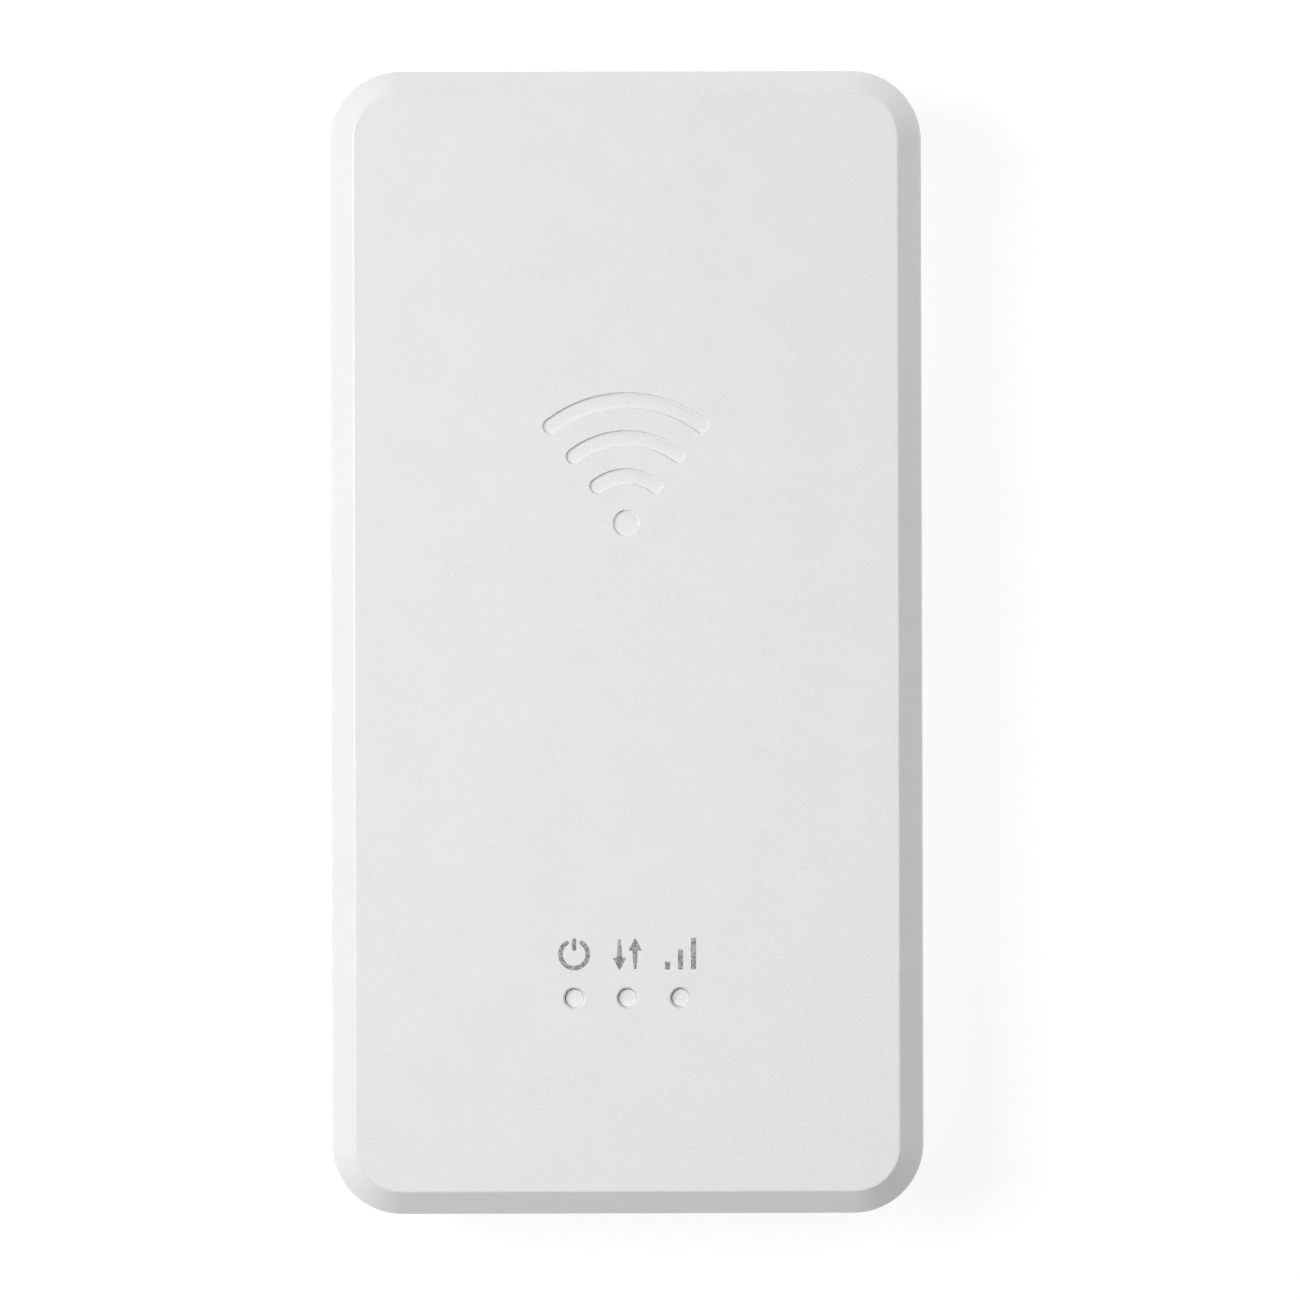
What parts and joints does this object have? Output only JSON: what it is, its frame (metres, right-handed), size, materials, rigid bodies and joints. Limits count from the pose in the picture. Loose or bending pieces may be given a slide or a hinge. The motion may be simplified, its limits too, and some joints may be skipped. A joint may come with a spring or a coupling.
{
  "type": "mobile hotspot",
  "caption": "Slim pocket mobile hotspot: white bevelled slab with indicator lights on its front, side buttons, SIM tray, USB-C socket and a lift-off rear cover.",
  "frame": {"origin": "centre of the rear face, on the surface that the hotspot lies on", "axes": "+Z out of the front face, +Y along its length towards the end away from the USB socket, +X towards the side with the buttons"},
  "size_m": [0.058, 0.112, 0.015],
  "materials": {
    "white_shell": "white, fine spark-eroded matte grain",
    "white_key": "white, satin",
    "inner_plastic": "pale grey moulded",
    "black_plastic": "black moulded",
    "diffuser": "milky translucent",
    "black_foam": "closed-cell foam",
    "grey_foam": "closed-cell foam",
    "label": "blank printed film",
    "board": "green solder mask",
    "chip": "black package",
    "led": "clear over phosphor",
    "steel": "tin-plated stamped",
    "screw_steel": "black nickel",
    "gold": "gold plated",
    "copper": "bare copper",
    "thermal_pad": "soft silicone",
    "cell": "dark shrink film over a metal can",
    "sim_card": "white card"
  },
  "bodies": {
    "housing": {"front_shell": "white_shell", "rear_housing": "inner_plastic", "usb_insulator": "black_plastic", "battery_connector": "black_plastic", "antenna_carrier": "black_plastic", "light_guide": "diffuser", "light_blocker": "black_foam", "info_label": "label", "pcb": "board", "baseband_chip": "chip", "memory_chip": "chip", "rf_transceiver_chip": "chip", "power_amplifier_chip": "chip", "wifi_chip": "chip", "power_chip": "chip", "power_inductor": "chip", "led_power": "led", "led_pairing": "led", "led_signal": "led", "baseband_shield": "steel", "rf_shield": "steel", "wifi_shield": "steel", "power_shield": "steel", "usb_shell": "steel", "power_switch": "steel", "pairing_switch": "steel", "reset_switch": "steel", "sim_connector": "steel", "housing_screw_1": "screw_steel", "housing_screw_2": "screw_steel", "housing_screw_3": "screw_steel", "housing_screw_4": "screw_steel", "housing_screw_5": "screw_steel", "housing_screw_6": "screw_steel", "battery_contact_1": "gold", "battery_contact_2": "gold", "battery_contact_3": "gold", "aux_antenna_clip": "gold", "lte_main_antenna": "copper", "lte_aux_antenna": "copper", "wifi_antenna_left": "copper", "wifi_antenna_right": "copper", "thermal_pad": "thermal_pad"},
    "battery": {"battery_cell": "cell", "battery_end_cap": "black_plastic", "battery_pad_1": "gold", "battery_pad_2": "gold", "battery_pad_3": "gold"},
    "rear_cover": {"rear_cover": "white_shell", "battery_foam": "grey_foam"},
    "power_button": {"power_button": "white_key", "power_switch_plunger": "black_plastic"},
    "pairing_button": {"pairing_button": "white_key", "pairing_switch_plunger": "black_plastic"},
    "reset_plunger": {"reset_plunger": "black_plastic"},
    "sim_tray": {"sim_tray": "white_key", "sim_card": "sim_card"}
  },
  "joints": [
    {"name": "cover_release", "type": "slide", "parent": "rear_cover", "child": "housing", "axis": [0, 0, 1], "range_m": [0, 0.024]},
    {"name": "battery_lift", "type": "slide", "parent": "rear_cover", "child": "battery", "axis": [0, 0, 1], "range_m": [0, 0.012]},
    {"name": "sim_slide", "type": "slide", "parent": "housing", "child": "sim_tray", "axis": [-1, 0, 0], "range_m": [0, 0.02]},
    {"name": "power_press", "type": "slide", "parent": "housing", "child": "power_button", "axis": [-1, 0, 0], "range_m": [0, 0.0004], "stiffness_N_per_m": 2000},
    {"name": "pairing_press", "type": "slide", "parent": "housing", "child": "pairing_button", "axis": [-1, 0, 0], "range_m": [0, 0.0004], "stiffness_N_per_m": 2000},
    {"name": "reset_press", "type": "slide", "parent": "housing", "child": "reset_plunger", "axis": [0, 1, 0], "range_m": [0, 0.0004], "stiffness_N_per_m": 2000}
  ],
  "couplings": [
    {"joint": "battery_lift", "follows": "cover_release", "ratio": 0.5}
  ]
}
